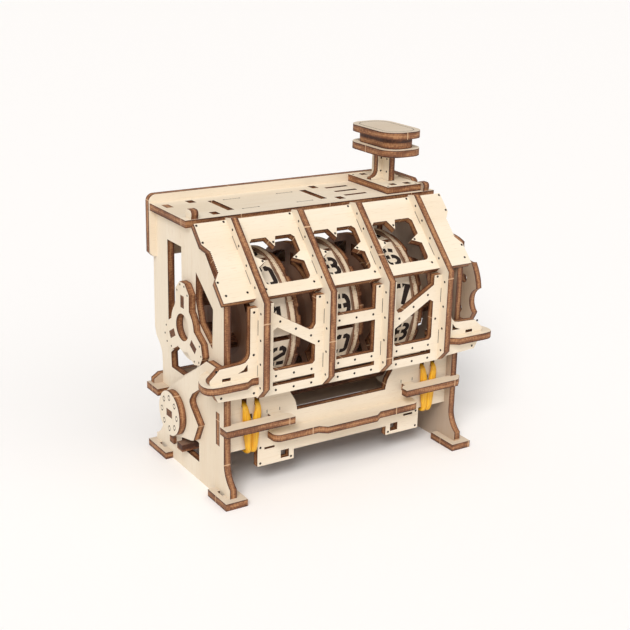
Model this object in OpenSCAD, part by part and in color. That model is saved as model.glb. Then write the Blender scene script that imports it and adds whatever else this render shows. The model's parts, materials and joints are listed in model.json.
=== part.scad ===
// Desktop counting machine in laser-cut plywood: three number drums behind a
// ribbed front, a press key on top and a reset handwheel on the right.
// Every plate is cut from one thickness of plywood and slots into its neighbours.
// The case coordinates run X to the right from the middle plane, Y to the back
// from the front face of the lower windows, and Z up from the table.

/* [Plywood] */
// Thickness of every plywood plate
ply = 3; // [2.9:0.05:3.05]

/* [Case] */
// Outer face of each side panel from the middle plane
case_half_w = 56.4; // [56.2:0.1:56.6]
// Underside of the top plate
top_z = 103.8; // [103.6:0.1:104.2]
// Front edge of the side panels
side_front_y = 4.7; // [4.5:0.1:4.8]
// Back edge of the legs
leg_back_y = 58; // [57.8:0.1:58.2]
// Seat of the rear board on the side panels
rear_seat_y = 62.05; // [61.9:0.05:62.3]
// Half width of the top plate
top_half_w = 59; // [58.6:0.1:59.4]
// Front edge of the top plate
top_front_y = 30.4; // [30.2:0.1:30.5]

/* [Front] */
// Middle of the outer pair of ribs from the middle plane
outer_rib_x = 43; // [42.9:0.1:43.1]
// Middle of the inner pair of ribs from the middle plane
inner_rib_x = 13.75; // [13.6:0.05:13.9]
// How far the ribs stand in front of the lower windows
rib_front = 4.25; // [4:0.05:4.5]
// Lower edge of the lower windows
window_z = 42.6; // [42.4:0.1:42.8]
// Upper edge of the lower windows
window_top_z = 79.8; // [79.4:0.1:79.8]
// Slope of the upper windows from level
slope_angle = 46; // [45.8:0.1:46.2]
// Height of the upper windows along their slope
slope_len = 34.2; // [33.8:0.1:34.4]
// Half width across the two blank panels
slope_half_w = 58.05; // [57.8:0.05:58.2]

/* [Drums] */
// Distance of the drum axis behind the lower windows
axis_y = 33.2; // [33.1:0.05:33.3]
// Height of the drum axis
axis_z = 63.4; // [63.3:0.05:63.5]
// Spacing of the drums
drum_pitch = 29.6; // [29.5:0.05:29.7]
// Right face of the middle drum's ring
middle_ring_x = 5.5; // [5.4:0.05:5.6]
// Outer radius of the drum discs
drum_r = 28; // [27.7:0.1:28]
// Width of a digit plate
digit_plate_w = 11; // [10.8:0.1:11]
// Distance of a digit plate's face from the axis
digit_face_r = 26.5; // [26.3:0.1:26.5]
// Turn of the middle row of digits above level
digit_turn = 16.5; // [10:0.5:20]
// Radius of the bearing discs that carry the drums
bearing_r = 14.25; // [14.2:0.05:14.4]
// Radius of the toothed carry wheels
carry_r = 26.3; // [26:0.1:26.3]

/* [Key] */
// Middle of the key from the middle plane
key_x = 45.2; // [45.1:0.1:45.3]
// Middle of the key's stem from the front
key_y = 49; // [48.9:0.1:49.1]
// Width of the key cap
cap_w = 19.6; // [18:0.2:20]
// Length of the key cap
cap_len = 32; // [29:0.5:32]
// Underside of the lowest cap plate
cap_z = 121.5; // [121:0.1:123]

/* [Lever] */
// Distance of the lever shaft behind the lower windows
lever_y = 39.4; // [39.3:0.05:39.5]
// Height of the lever shaft
lever_z = 25.4; // [25.3:0.05:25.45]
// Radius of the lever discs
lever_disc_r = 9.3; // [9:0.1:9.4]

/* [Handwheel] */
// Tip radius of the handwheel's lobes
wheel_r = 22; // [21:0.5:22.5]
// Inner face of the handwheel from the middle plane
wheel_x = 70; // [70:0.5:71]

/* [Hidden] */
$fn = 64;

// Colours of the birch face, the toasted rims and the rubber
birch = [0.93, 0.85, 0.70];
toasted = [0.62, 0.42, 0.26];
amber = [0.93, 0.66, 0.08];

// Far ends of the machine, which put the origin in the middle of its base
foot_back_y = 66.2;
shelf_end_x = 67.4;
mid_x = (wheel_x + ply - shelf_end_x) / 2;
mid_y = (foot_back_y - rib_front) / 2;

// Lower front corner of the slope, which the upper windows stand on
slope_y = 1.55;
slope_z = 82;

side_in = case_half_w - ply;
star_x = case_half_w + ply;
rib_half = ply / 2;
bay_x = (outer_rib_x + inner_rib_x) / 2;
outer_bay_half = (outer_rib_x - inner_rib_x) / 2 - rib_half;
middle_bay_half = inner_rib_x - rib_half;

// Board across the legs, and the shelves and bars that it carries
board_y = 8.1;
bar_z = 28.3;
name_z = 21;
bracket_z = 48.6;
bracket_lap_y = 8.5;
bracket_notch_x = 63.6;
foot_w = 9.5;
foot_in_x = 50.2;

// Front end of the ridge beside the key
ridge_y = 38.8;

// Spars of the fixed axle, from the axis outwards
spar_in = 8;
spar_out = 13;
spar_turns = [90, 210, 330];
bore_gap = 0.05;
shaft_r = 5.42;
shaft_hole_r = 5.5;
lever_shaft_r = 3.4;
shaft_end = [5, 3.1];
pawl_y = 61.2;
pawl_z = 53.2;
rod_r = 1.5;
rod_half = side_in + ply / 2;
push_tip_y = 52.2;
push_tip_z = 36.2;
push_half = 2.5;

// Tips of the return arms, and the bands that pull them forward and down
hook_y = 14.8;
hook_z = 33.4;
hook_r = 3;
band_r = 1;
band_x = 42.9;
band_y = 7;
band_spread = 2.8;

// Puts the case coordinates into the frame whose origin is the middle of the base
module in_frame() translate([-mid_x, -mid_y, 0]) children();

// A plate lying level, with its outline in X and Y and its underside at z
module level_plate(z, t = ply) translate([0, 0, z]) linear_extrude(t) children();

// A plate facing the front, with its outline in X and Z and its front face at y
module front_plate(y, t = ply) translate([0, y + t, 0]) rotate([90, 0, 0]) linear_extrude(t) children();

// A plate facing the side, with its outline in Y and Z and its left face at x
module side_plate(x, t = ply) translate([x, 0, 0]) rotate([90, 0, 90]) linear_extrude(t) children();

// A plate lying on the slope, with its outline in X and up the slope
module slope_plate() translate([0, slope_y, slope_z]) rotate([slope_angle, 0, 0])
    translate([0, 0, -ply]) linear_extrude(ply) children();

module both_sides() {
    children();
    mirror([1, 0, 0]) children();
}

// A rectangle from one corner to the opposite one
module box2(x0, y0, x1, y1) translate([x0, y0]) square([x1 - x0, y1 - y0]);

// A rectangle with round corners, about its middle
module round_rect(w, h, r) {
    square([w - 2 * r, h], center = true);
    square([w, h - 2 * r], center = true);
    for (x = [-1, 1], y = [-1, 1]) translate([x * (w / 2 - r), y * (h / 2 - r)]) circle(r);
}

// Right face of the ring of drum n, counted from the left
function ring_x(n) = middle_ring_x + (n - 2) * drum_pitch;

// ---- Side panels ----

// Slots of the three spars, about the drum axis
module spar_slots() for (a = spar_turns)
    rotate(a) translate([spar_in, -ply / 2]) square([spar_out - spar_in, ply]);

module at_axis() translate([axis_y, axis_z]) children();

module side_edge() {
    slope_run = (top_z - slope_z) / tan(slope_angle);
    back = ply * sin(slope_angle);
    drop = ply * cos(slope_angle);
    seat_z = 84.6;
    slope_foot_z = slope_z - drop + (side_front_y - slope_y - back) * tan(slope_angle);
    slope_top_y = slope_y + back + slope_run + drop / tan(slope_angle);
    difference() {
        union() {
            polygon([
                [11.7, 0], [11.7, ply], [-0.4, ply], [-0.4, 16], [side_front_y, 16],
                [side_front_y, slope_foot_z], [slope_top_y, top_z], [rear_seat_y, top_z],
                [rear_seat_y, seat_z], [65, seat_z], [65, 54], [63.7, 50.5], [60.4, 47.6],
                [58.4, 44.5], [leg_back_y, 40], [leg_back_y, 16], [65, 16], [65, ply],
                [49.5, ply], [49.5, 0]
            ]);
            // stub with a wider head, which stands above the top plate
            box2(30.8, top_z - 1, 35.2, top_z + 4.8);
            translate([33, top_z + 4.85]) round_rect(5, 3.3, 1.5);
            // tenon in the top plate
            translate([51.8, top_z - 1]) square([5.4, ply + 1]);
            // tenons in the feet
            box2(2.5, 0, 8, ply + 1);
            box2(53, 0, 60, ply + 1);
        }
        translate([-6.3, 16]) circle(11);
        translate([69, 16]) circle(11);
    }
}

// Windows of a side panel, from the height of the rear one
module side_windows(rear_top_z) {
    difference() {
        union() {
            polygon([[39.5, rear_top_z], [51.9, rear_top_z], [51.9, 60], [43, 56], [39.5, 66]]);
            polygon([[49.9, 47], [49.4, 40.8], [38.7, 40.8], [27, 48], [25.5, 54.5], [40, 55]]);
        }
        at_axis() circle(14);
        // spoke behind the rear arm of the star
        at_axis() rotate(-30) translate([10, -4.5]) square([16, 9]);
    }
    polygon([[27.2, 87.1], [27.4, 75.5], [24.2, 67.2], [13.8, 60.1], [13.2, 76.1]]);
    box2(25.4, 8.2, 41, 16.5);
}

module side_slots() {
    // front board, bracket shelf, guard bar, rear shelf and tie bar
    box2(board_y, 21.9, board_y + ply, 35.6);
    box2(side_front_y - 1, bracket_z, bracket_lap_y, bracket_z + ply);
    box2(51.5, bar_z, leg_back_y + 1, bar_z + ply);
    box2(45.9, 8, 49.5, 8 + ply);
}

module side_panel_outline(rear_top_z) difference() {
    side_edge();
    side_windows(rear_top_z);
    side_slots();
    at_axis() spar_slots();
    translate([lever_y, lever_z]) circle(lever_shaft_r + bore_gap);
}

// Rod of the pawls, which ends halfway through each side panel
module rod_solid() side_plate(-rod_half, 2 * rod_half) translate([pawl_y, pawl_z]) circle(rod_r);

module left_side_panel() color(birch) in_frame() difference() {
    side_plate(-case_half_w) side_panel_outline(94.1);
    rod_solid();
}

// The right panel has a lower rear window, and a ridge beside the key
module right_side_panel() color(birch) in_frame() difference() {
    side_plate(side_in) difference() {
        union() {
            side_panel_outline(78);
            polygon([
                [ridge_y, top_z - 1], [ridge_y, 109.6], [ridge_y + 1.4, 110.6],
                [57.2, 110.8], [57.2, top_z - 1]
            ]);
        }
        at_axis() circle(shaft_hole_r);
    }
    rod_solid();
}

module feet() color(birch) in_frame() both_sides()
    level_plate(0) difference() {
        union() {
            box2(foot_in_x, -3.4, foot_in_x + foot_w, 11.7);
            box2(foot_in_x, 49.5, foot_in_x + foot_w, foot_back_y);
        }
        box2(side_in, 2.5, case_half_w, 8);
        box2(side_in, 53, case_half_w, 60);
        // spare half of each slot, beside the leg
        box2(case_half_w, 4, case_half_w + 1.1, 8);
        box2(case_half_w, 55, case_half_w + 1.1, 60);
    }

// ---- Top ----

// Cross-shaped slot that guides the key
module key_slot() {
    gap = 0.3;
    translate([key_x, key_y]) {
        square([14.4 + 2 * gap, ply + 2 * gap], center = true);
        square([ply + 2 * gap, 12.6 + 2 * gap], center = true);
    }
}

module top_plate() color(birch) in_frame()
    level_plate(top_z) difference() {
        box2(-top_half_w, top_front_y, top_half_w, rear_seat_y);
        // side panels
        both_sides() {
            box2(side_in, 30.8, case_half_w, 35.2);
            box2(side_in, 51.8, case_half_w, 57.2);
        }
        box2(side_in, ridge_y, case_half_w, 57.2);
        // small mortises near the corners
        for (p = [[-43.3, 57.3], [-43.6, 36.1], [15.4, 58.2], [14.8, 36.4]])
            translate(p) square([3.2, 4.2], center = true);
        // long slots from front to back
        for (x = [-35.4, 8]) box2(x - 1.5, 37.8, x + 1.5, 55.2);
        // three slots from left to right
        for (y = [54.2, 46.8, 39.4]) box2(19, y - 1, 30, y + 1);
        key_slot();
    }

module rear_board() color(birch) in_frame()
    front_plate(rear_seat_y) difference() {
        union() {
            box2(-59.5, 84.6, 59.5, 107);
            box2(-56.5, 100, 54, 110.2);
            translate([-56.5, 107.2]) circle(3);
            polygon([[54, 110.2], [59.5, 107], [54, 107]]);
        }
        both_sides() translate([59.5, 84.6]) rotate(45) square(2.4, center = true);
    }

module key_base() color(birch) in_frame()
    level_plate(top_z + ply) difference() {
        box2(36, 32.4, 53.3, rear_seat_y);
        for (p = [[41.9, 59.2], [41.5, 36.6], [48.5, 36]]) translate(p) square(3, center = true);
        key_slot();
    }

// ---- Slope ----

// Opening of an upper window about the middle of its bay, with three pointers
module upper_opening() difference() {
    union() {
        polygon([[-10, 6.7], [-10, 23.3], [-8.7, 24.6], [8.7, 24.6], [10, 23.3], [10, 6.7]]);
        box2(-8, 4.7, 8, 7);
        for (x = [-8, 8]) translate([x, 6.7]) circle(2);
    }
    polygon([[-2.4, 24.6], [0, 20.3], [1.8, 24.6]]);
    polygon([[-10, 17], [-6.2, 14.7], [-10, 12.5]]);
    polygon([[10, 17], [5.6, 14.5], [10, 12.5]]);
}

module upper_window(x, half_w) slope_plate() difference() {
    box2(x - half_w, 0, x + half_w, slope_len);
    translate([x, 0]) upper_opening();
}

module upper_window_1() color(birch) in_frame() upper_window(-bay_x, outer_bay_half);
module upper_window_2() color(birch) in_frame() upper_window(0, middle_bay_half);
module upper_window_3() color(birch) in_frame() upper_window(bay_x, outer_bay_half);

// Panels outside the outer ribs, with a finely toothed notch in the outer edge
module blank_panels() color(birch) in_frame() both_sides()
    slope_plate() difference() {
        box2(outer_rib_x + rib_half, 0, slope_half_w, slope_len);
        notch_x = 55.8;
        polygon([
            [slope_half_w, 25.2], [notch_x, 22.1], [notch_x, 12.6], [slope_half_w, 9.5],
            [slope_half_w + 1, 9.5], [slope_half_w + 1, 25.2]
        ]);
        // teeth
        teeth = 12;
        tooth = 9.5 / teeth;
        for (i = [0 : teeth - 1]) translate([notch_x, 12.6 + tooth * (i + 0.5)])
            rotate(45) square(tooth * 0.68, center = true);
    }

// ---- Ribs and lower windows ----

module rib_outline() {
    proud = 3.9;
    deep = 6;
    c = cos(slope_angle);
    s = sin(slope_angle);
    rib_len = slope_len - 1.6;
    polygon([
        [0, window_z], [-rib_front, window_z + 4.5], [-rib_front, slope_z - 0.3],
        [slope_y + rib_len * c - proud * s, slope_z + rib_len * s + proud * c],
        [slope_y + slope_len * c, slope_z + slope_len * s + 0.9],
        [slope_y + slope_len * c + deep * s - 1, slope_z + slope_len * s - deep * c],
        [4.5, slope_z - deep * c - (slope_y + deep * s - 4.5) * tan(slope_angle)],
        [4.5, window_z]
    ]);
}

module rib(x) side_plate(x - rib_half) rib_outline();

module rib_1() color(birch) in_frame() rib(-outer_rib_x);
module rib_2() color(birch) in_frame() rib(-inner_rib_x);
module rib_3() color(birch) in_frame() rib(inner_rib_x);
module rib_4() color(birch) in_frame() rib(outer_rib_x);

// Lower window plate with its slit, before the large openings
module lower_plate(x, half_w) difference() {
    box2(x - half_w, window_z, x + half_w, window_top_z);
    box2(x - 9.4, 46.2, x + 9.4, 48);
}

// Large openings of an outer bay: the bar between them falls to the right
module barred_openings() {
    polygon([[-9.4, 81], [9.4, 81], [9.4, 68.4], [8.2, 66.6], [6.6, 66.6], [-9.4, 75.8]]);
    polygon([
        [-8.4, 52.3], [8.4, 52.3], [9.4, 53.3], [9.4, 59.9],
        [-7.6, 69.8], [-9.4, 68.8], [-9.4, 53.3]
    ]);
}

// Large openings of the middle bay: the bar between them is level
module level_openings() {
    box2(-9, 70.1, 9, 81);
    box2(-9, 51.9, 9, 65.6);
}

module lower_window_1() color(birch) in_frame() front_plate(0) difference() {
    lower_plate(-bay_x, outer_bay_half);
    translate([-bay_x, 0]) barred_openings();
}

module lower_window_2() color(birch) in_frame() front_plate(0) difference() {
    lower_plate(0, middle_bay_half);
    level_openings();
}

module lower_window_3() color(birch) in_frame() front_plate(0) difference() {
    lower_plate(bay_x, outer_bay_half);
    translate([bay_x, 0]) mirror([1, 0]) barred_openings();
}

// ---- Front board, shelves and bars ----

module front_board() color(birch) in_frame() front_plate(board_y) difference() {
    union() {
        box2(-side_in, 18.3, side_in, 44.6);
        box2(-case_half_w, 21.9, case_half_w, 35.6);
        box2(-22.7, 13.3, 22.7, 20);
        both_sides() box2(22.7, 9.2, 39.5, 20);
    }
    // wide opening under the windows
    polygon([
        [-21.6, 30.2], [21.6, 30.2], [21.6, 31], [22.5, 34.5], [24.8, 38.2], [24.8, 46],
        [-24.8, 46], [-24.8, 38.2], [-22.5, 34.5], [-21.6, 31]
    ]);
    both_sides() {
        // mortise and slit of each lug
        box2(25, 10.6, 28.8, 14);
        box2(31.7, 16.1, 36.4, 17);
        // two slots that the rubber bands come through, and a small mortise between them
        for (x = [-1, 1]) translate([band_x + x * band_spread, 40.3]) square([2.2, 8], center = true);
        translate([band_x, 31.9]) square([1.6, 1.8], center = true);
    }
}

module name_shelf() color(birch) in_frame() level_plate(name_z) {
    end_r = 3;
    box2(-35 + end_r, 1.8, 35 - end_r, board_y);
    both_sides() {
        translate([35 - end_r, 1.8 + end_r]) circle(end_r);
        box2(35 - end_r, 1.8 + end_r, 35, board_y);
    }
    polygon([[-15, 1.8], [-12, -0.5], [12, -0.5], [15, 1.8]]);
}

// Guard bar on the right, whose outer front corner is cut off by corner_cut
module guard_bar(corner_cut) difference() {
    union() {
        polygon([
            [27, 0.3], [57.5 - corner_cut, 0.3], [57.5, 0.3 + corner_cut], [57.5, 5.7],
            [29, 5.7], [27, 3.7]
        ]);
        box2(30, 5, 35, board_y);
    }
    box2(side_in, side_front_y, case_half_w, 7);
}

module guard_bars() color(birch) in_frame() level_plate(bar_z) {
    mirror([1, 0]) guard_bar(0);
    guard_bar(3.4);
}

// Bracket shelf of the right side, whose round end may stand out by reach
module bracket_shelf(reach) difference() {
    inner = outer_rib_x + rib_half;
    union() {
        polygon([[inner, -1], [inner + 3, -1], [inner + 6, -3.3], [61, -3.3], [61, 13], [inner, 13]]);
        translate([shelf_end_x + reach, 0]) polygon([
            [-10 - reach, -3.3], [-5, -3.3], [-2.4, -2.9], [-0.9, -1.9], [-0.2, -0.4], [0, 1.6], [-0.4, 4],
            [-1.4, 6.8], [-2.6, 9], [-4.4, 11.3], [-6.9, 13.2], [-8.6, 13.9], [-10 - reach, 13]
        ]);
    }
    // the corner plate, the side panel and the brace cross the shelf
    box2(48, 0, bracket_notch_x, ply);
    box2(side_in, bracket_lap_y, star_x, 15);
}

module bracket_shelves() color(birch) in_frame() level_plate(bracket_z) {
    mirror([1, 0]) bracket_shelf(0);
    bracket_shelf(2);
}

module corner_plates() color(birch) in_frame() both_sides() front_plate(0) difference() {
    inner = outer_rib_x + rib_half;
    shelf_top = bracket_z + ply;
    union() {
        polygon([
            [inner, 43.4], [61.3, 44.2], [bracket_notch_x, bracket_z],
            [bracket_notch_x, shelf_top], [inner, shelf_top]
        ]);
        polygon([
            [inner, shelf_top], [64.5, shelf_top], [64.9, 52.4], [64.8, 53.4], [62, 55.9],
            [60.7, 57.2], [52, 57.6], [49.8, 58], [48.4, 59.4], [47.8, 61], [47.7, 79], [inner, 79]
        ]);
    }
    // the shelf's inner end crosses the plate
    box2(inner - 1, bracket_z, 48, shelf_top);
    // three-cornered hole and mortise
    polygon([[48.8, 54.4], [53, 54.2], [50.4, 55.3], [48.8, 57.2]]);
    box2(56, 52.1, 59.6, 53.3);
}

// Bearing plates of the lever shaft, which also carry the bracket shelves
module braces() color(birch) in_frame() both_sides() side_plate(case_half_w) difference() {
    polygon([
        [5.4, 56.1], [12.9, 56], [45.4, 34.1], [48.8, 31.2], [50.4, 25.1], [48.8, 19],
        [44.2, 15.4], [38, 15], [33, 16.4], [26.4, 17.8], [24.4, 18.6], [20.3, 26.5],
        [26.8, 32.4], [27.7, 33.8], [27.6, 35.1], [25.2, 38.3], [19.1, 42.4], [9, 48], [5.4, 52]
    ]);
    box2(5, bracket_z, bracket_lap_y, bracket_z + ply);
    translate([lever_y, lever_z]) circle(lever_shaft_r + bore_gap);
}

// ---- Back and bottom ties ----

module rear_shelf() color(birch) in_frame() level_plate(bar_z) difference() {
    union() {
        box2(-62, 47.5, 62, leg_back_y);
        // the outer ends reach under the rear lower board
        both_sides() box2(case_half_w, 51.5, 62, 61.8);
    }
    // the panels, and clear of the braces and lever discs outside them
    both_sides() box2(side_in, 47, 63, 51.5);
    // way of the push bar and the press arm
    box2(43, 47, 48.4, 57);
}

module rear_lower_board() color(birch) in_frame() front_plate(leg_back_y) {
    both_sides() polygon([
        [0, bar_z], [case_half_w, bar_z], [case_half_w, bar_z + ply], [60.4, bar_z + ply],
        [60.4, 33.2], [57.4, 35.2], [0, 35.2]
    ]);
    box2(-side_in, 7, side_in, bar_z + ply);
}

module tie_bars() color(birch) in_frame() {
    level_plate(10) box2(-60, 33.4, 60, 38);
    level_plate(8) box2(-57.8, 45.9, 57.8, 49.5);
}

// ---- Fixed axle ----

module axle_spars() color(birch) in_frame() side_plate(-star_x, 2 * star_x) at_axis() spar_slots();

module bearing_disc(x, t) side_plate(x, t) at_axis() difference() {
    circle(bearing_r);
    circle(shaft_hole_r);
    spar_slots();
}

// A bearing under the left disc, and another under the ring and the carry wheel
module bearing_discs() color(birch) in_frame() for (n = [1 : 3]) {
    bearing_disc(ring_x(n) - digit_plate_w - 2 * ply, ply);
    bearing_disc(ring_x(n) - ply, 2 * ply);
}

module star_outline() {
    arm_half = 5.75;
    tip_r = 18.3;
    chamfer = 3.6;
    difference() {
        union() {
            circle(9.8);
            for (a = spar_turns) rotate(a) polygon([
                [0, -arm_half], [tip_r - chamfer, -arm_half], [tip_r, -arm_half + chamfer],
                [tip_r, arm_half - chamfer], [tip_r - chamfer, arm_half], [0, arm_half]
            ]);
        }
        circle(shaft_hole_r);
        spar_slots();
    }
}

module left_axle_star() color(birch) in_frame() side_plate(-star_x) at_axis() star_outline();
module right_axle_star() color(birch) in_frame() side_plate(case_half_w) at_axis() star_outline();

module pawl_rod() color(toasted) in_frame() rod_solid();

// ---- Drums ----

// Left disc of a drum, with five windows under its rim
module drum_disc(n) color(birch) in_frame()
    side_plate(ring_x(n) - digit_plate_w - 2 * ply) at_axis() difference() {
        window_in = 19.7;
        window_out = 24.6;
        spoke = 4;
        circle(drum_r);
        circle(bearing_r + bore_gap);
        difference() {
            circle(window_out);
            circle(window_in);
            for (i = [0 : 4]) rotate(88 + 72 * i) translate([0, -spoke / 2]) square([drum_r, spoke]);
        }
    }

// Ten flat plates that carry the digits
module digit_plates(n) color(birch) in_frame() side_plate(ring_x(n) - digit_plate_w - ply, digit_plate_w)
    at_axis() for (i = [0 : 9]) rotate(180 - digit_turn - 36 * i)
        translate([digit_face_r - ply, -7.6]) square([ply, 15.2]);

module drum_ring(n) color(toasted) in_frame() side_plate(ring_x(n) - ply) at_axis() difference() {
    circle(drum_r);
    circle(bearing_r + bore_gap);
}

// Wheel with ten shallow notches, one for each digit
module carry_wheel(n) color(toasted) in_frame() side_plate(ring_x(n)) at_axis() difference() {
    circle(carry_r);
    circle(bearing_r + bore_gap);
    for (i = [0 : 9]) rotate(36 * i + 18) translate([carry_r + 0.6, 0]) circle(2);
}

module drum_disc_1() drum_disc(1);
module drum_disc_2() drum_disc(2);
module drum_disc_3() drum_disc(3);
module digit_plates_1() digit_plates(1);
module digit_plates_2() digit_plates(2);
module digit_plates_3() digit_plates(3);
module drum_ring_1() drum_ring(1);
module drum_ring_2() drum_ring(2);
module drum_ring_3() drum_ring(3);
module carry_wheel_1() carry_wheel(1);
module carry_wheel_2() carry_wheel(2);
module carry_wheel_3() carry_wheel(3);

// Pawl on the rod behind a carry wheel, its finger below the rod, resting just clear of the wheel
module stop_pawl(n) color(birch) in_frame() side_plate(ring_x(n) + 0.2, ply - 0.4) difference() {
    clear_r = carry_r + 0.35;
    union() {
        translate([pawl_y, pawl_z]) circle(3);
        intersection() {
            at_axis() difference() {
                circle(clear_r + 3.4);
                circle(clear_r);
            }
            at_axis() polygon([[0, 0], [40, -14.6], [40, -33.6]]);
        }
    }
    translate([pawl_y, pawl_z]) circle(rod_r + bore_gap);
    at_axis() circle(clear_r);
}

module stop_pawl_1() stop_pawl(1);
module stop_pawl_2() stop_pawl(2);
module stop_pawl_3() stop_pawl(3);

// ---- Key ----

// Height of the waisted middle of the cap
spacer = 4.5;

// A layer of the cap, from its underside and its thickness
module cap_plate(z, t, shrink) color(birch) in_frame() level_plate(cap_z + z, t)
    translate([key_x + 1, key_y + 0.4]) round_rect(cap_w - 2 * shrink, cap_len - 2 * shrink, 7.4 - shrink / 2);

module key_cap_bottom() cap_plate(0, ply, 0);
module key_cap_middle() cap_plate(ply, spacer, 2.6);
module key_cap_top() cap_plate(ply + spacer, ply, 0);

// Height at which the two crossed stem plates lap
lap_z = 112;

// Stem plate that faces the front, waisted under the cap
module key_stem() color(birch) in_frame() front_plate(key_y - ply / 2) translate([key_x, 0]) difference() {
    waist = 3.9;
    wide = 7.2;
    flare = wide - waist;
    union() {
        box2(-waist, 100, waist, cap_z);
        difference() {
            box2(-wide, 100, wide, 110.2 + flare);
            both_sides() translate([wide, 110.6 + flare]) circle(flare);
        }
        difference() {
            box2(-waist - 2.2, cap_z - 2.2, waist + 2.2, cap_z);
            both_sides() translate([waist + 2.2, cap_z - 2.2]) circle(2.2);
        }
    }
    box2(-ply / 2, 99, ply / 2, lap_z);
}

// Stem plate that faces the side and reaches down to the press arm
module push_bar() color(birch) in_frame() side_plate(key_x - ply / 2) difference() {
    union() {
        box2(key_y - 6.3, 100, key_y + 6.3, cap_z);
        box2(push_tip_y - push_half, push_tip_z, push_tip_y + push_half, 101);
        translate([push_tip_y, push_tip_z]) circle(push_half);
    }
    box2(key_y - ply / 2, lap_z, key_y + ply / 2, cap_z + 1);
}

// ---- Reset wheel ----

module reset_shaft() color(toasted) in_frame()
    side_plate(ring_x(3) - ply, wheel_x + ply - ring_x(3) + ply) at_axis() circle(shaft_r);

module handwheel() color(birch) in_frame() side_plate(wheel_x) at_axis() difference() {
    lobes = 6;
    lobe_turn = 158;
    scallop_r = 6.5;
    circle(wheel_r);
    circle(shaft_r);
    for (i = [0 : lobes - 1]) rotate(lobe_turn + 360 / lobes * i) {
        translate([14.3, 0]) circle(2);
        rotate(180 / lobes) translate([18 + scallop_r, 0]) circle(scallop_r);
    }
}

// ---- Lever ----

module at_lever() translate([lever_y, lever_z]) children();

// Round shaft with flattened ends for the discs
module lever_shaft() color(toasted) in_frame() {
    side_plate(-star_x, 2 * star_x) at_lever() circle(lever_shaft_r);
    disc_out = star_x + 0.3 + ply;
    side_plate(-disc_out, 2 * disc_out) at_lever() square(shaft_end, center = true);
}

module lever_discs() color(birch) in_frame() both_sides() side_plate(star_x + 0.3) at_lever() difference() {
    circle(lever_disc_r);
    square(shaft_end, center = true);
}

// Arm that the push bar presses down
module press_arm() color(birch) in_frame() side_plate(outer_rib_x + rib_half + 0.2) at_lever() difference() {
    union() {
        circle(6.5);
        rotate(20) box2(0, -3, 16.5, 3);
    }
    circle(lever_shaft_r);
}

// Arm whose tip the rubber bands pull forward and down, with a horn behind them
module return_arm(x) side_plate(x - rib_half) difference() {
    reach = norm([hook_y - lever_y, hook_z - lever_z]);
    rise = atan2(hook_z - lever_z, hook_y - lever_y);
    union() {
        at_lever() circle(6.5);
        at_lever() rotate(rise) box2(0, -2.4, reach, 2.4);
        translate([hook_y, hook_z]) circle(hook_r);
        box2(hook_y + 1.3, hook_z - 1, hook_y + 3.1, hook_z + 5);
    }
    at_lever() circle(lever_shaft_r);
}

module left_return_arm() color(birch) in_frame() return_arm(-outer_rib_x);
module right_return_arm() color(birch) in_frame() return_arm(outer_rib_x);

// A loop of rubber on each side: round the arm's tip, through the slots of the
// front board, and together under the board's lower edge
module rubber_bands() color(amber) in_frame() both_sides() {
    top = hook_z + hook_r + band_r + 0.1;
    bottom = 18.3 - band_r - 0.1;
    foot_spread = 0.5;
    lean = atan2(band_spread - foot_spread, top - bottom);
    long = norm([band_spread - foot_spread, top - bottom]);
    for (x = [-1, 1]) {
        translate([band_x + x * foot_spread, band_y, bottom]) rotate([0, x * lean, 0])
            cylinder(h = long, r = band_r, $fn = 24);
        translate([band_x + x * band_spread, band_y - 0.4, top]) rotate([-90, 0, 0])
            cylinder(h = hook_y - band_y + 0.4, r = band_r, $fn = 24);
    }
    translate([band_x, band_y - 0.6, bottom]) rotate([-90, 0, 0])
        cylinder(h = 5.6, r = band_r, $fn = 24);
    translate([band_x - band_spread - 0.6, hook_y, top]) rotate([0, 90, 0])
        cylinder(h = 2 * band_spread + 1.2, r = band_r, $fn = 24);
}

left_side_panel();
right_side_panel();
feet();
top_plate();
rear_board();
key_base();
upper_window_1();
upper_window_2();
upper_window_3();
blank_panels();
lower_window_1();
lower_window_2();
lower_window_3();
rib_1();
rib_2();
rib_3();
rib_4();
front_board();
name_shelf();
guard_bars();
bracket_shelves();
corner_plates();
braces();
rear_shelf();
rear_lower_board();
tie_bars();
axle_spars();
bearing_discs();
left_axle_star();
right_axle_star();
pawl_rod();
drum_disc_1();
digit_plates_1();
drum_ring_1();
carry_wheel_1();
drum_disc_2();
digit_plates_2();
drum_ring_2();
carry_wheel_2();
drum_disc_3();
digit_plates_3();
drum_ring_3();
carry_wheel_3();
stop_pawl_1();
stop_pawl_2();
stop_pawl_3();
key_cap_top();
key_cap_middle();
key_cap_bottom();
key_stem();
push_bar();
reset_shaft();
handwheel();
lever_shaft();
lever_discs();
press_arm();
left_return_arm();
right_return_arm();
rubber_bands();
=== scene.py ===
"""Looks of a desktop counting machine in laser-cut plywood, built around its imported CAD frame."""

import json
import math

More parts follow.
